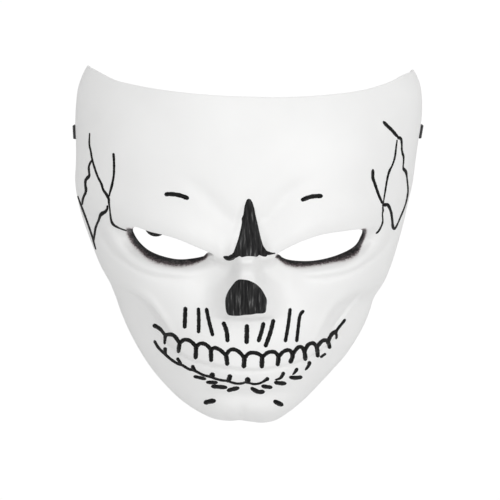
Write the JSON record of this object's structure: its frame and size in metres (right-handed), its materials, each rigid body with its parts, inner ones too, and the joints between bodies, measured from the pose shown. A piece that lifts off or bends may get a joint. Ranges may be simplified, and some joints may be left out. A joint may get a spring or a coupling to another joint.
{
  "type": "skull mask",
  "caption": "Full-face skull mask: a thin moulded shell with a frowning brow, open eyes and painted bone lines, worn on a flat elastic strap threaded through slots at the temples.",
  "frame": {"origin": "under the middle of the mask's box, on the surface that the mask lies on", "axes": "+X to the viewer's right, +Y up the face towards the forehead, +Z out of the face"},
  "size_m": [0.1802, 0.1836, 0.0787],
  "materials": {
    "shell": "satin white plastic, hand painted with black lines in the visual model",
    "strap": "flat woven black elastic"
  },
  "bodies": {
    "root": {"mask_shell": "shell", "elastic_strap": "strap"}
  },
  "joints": []
}
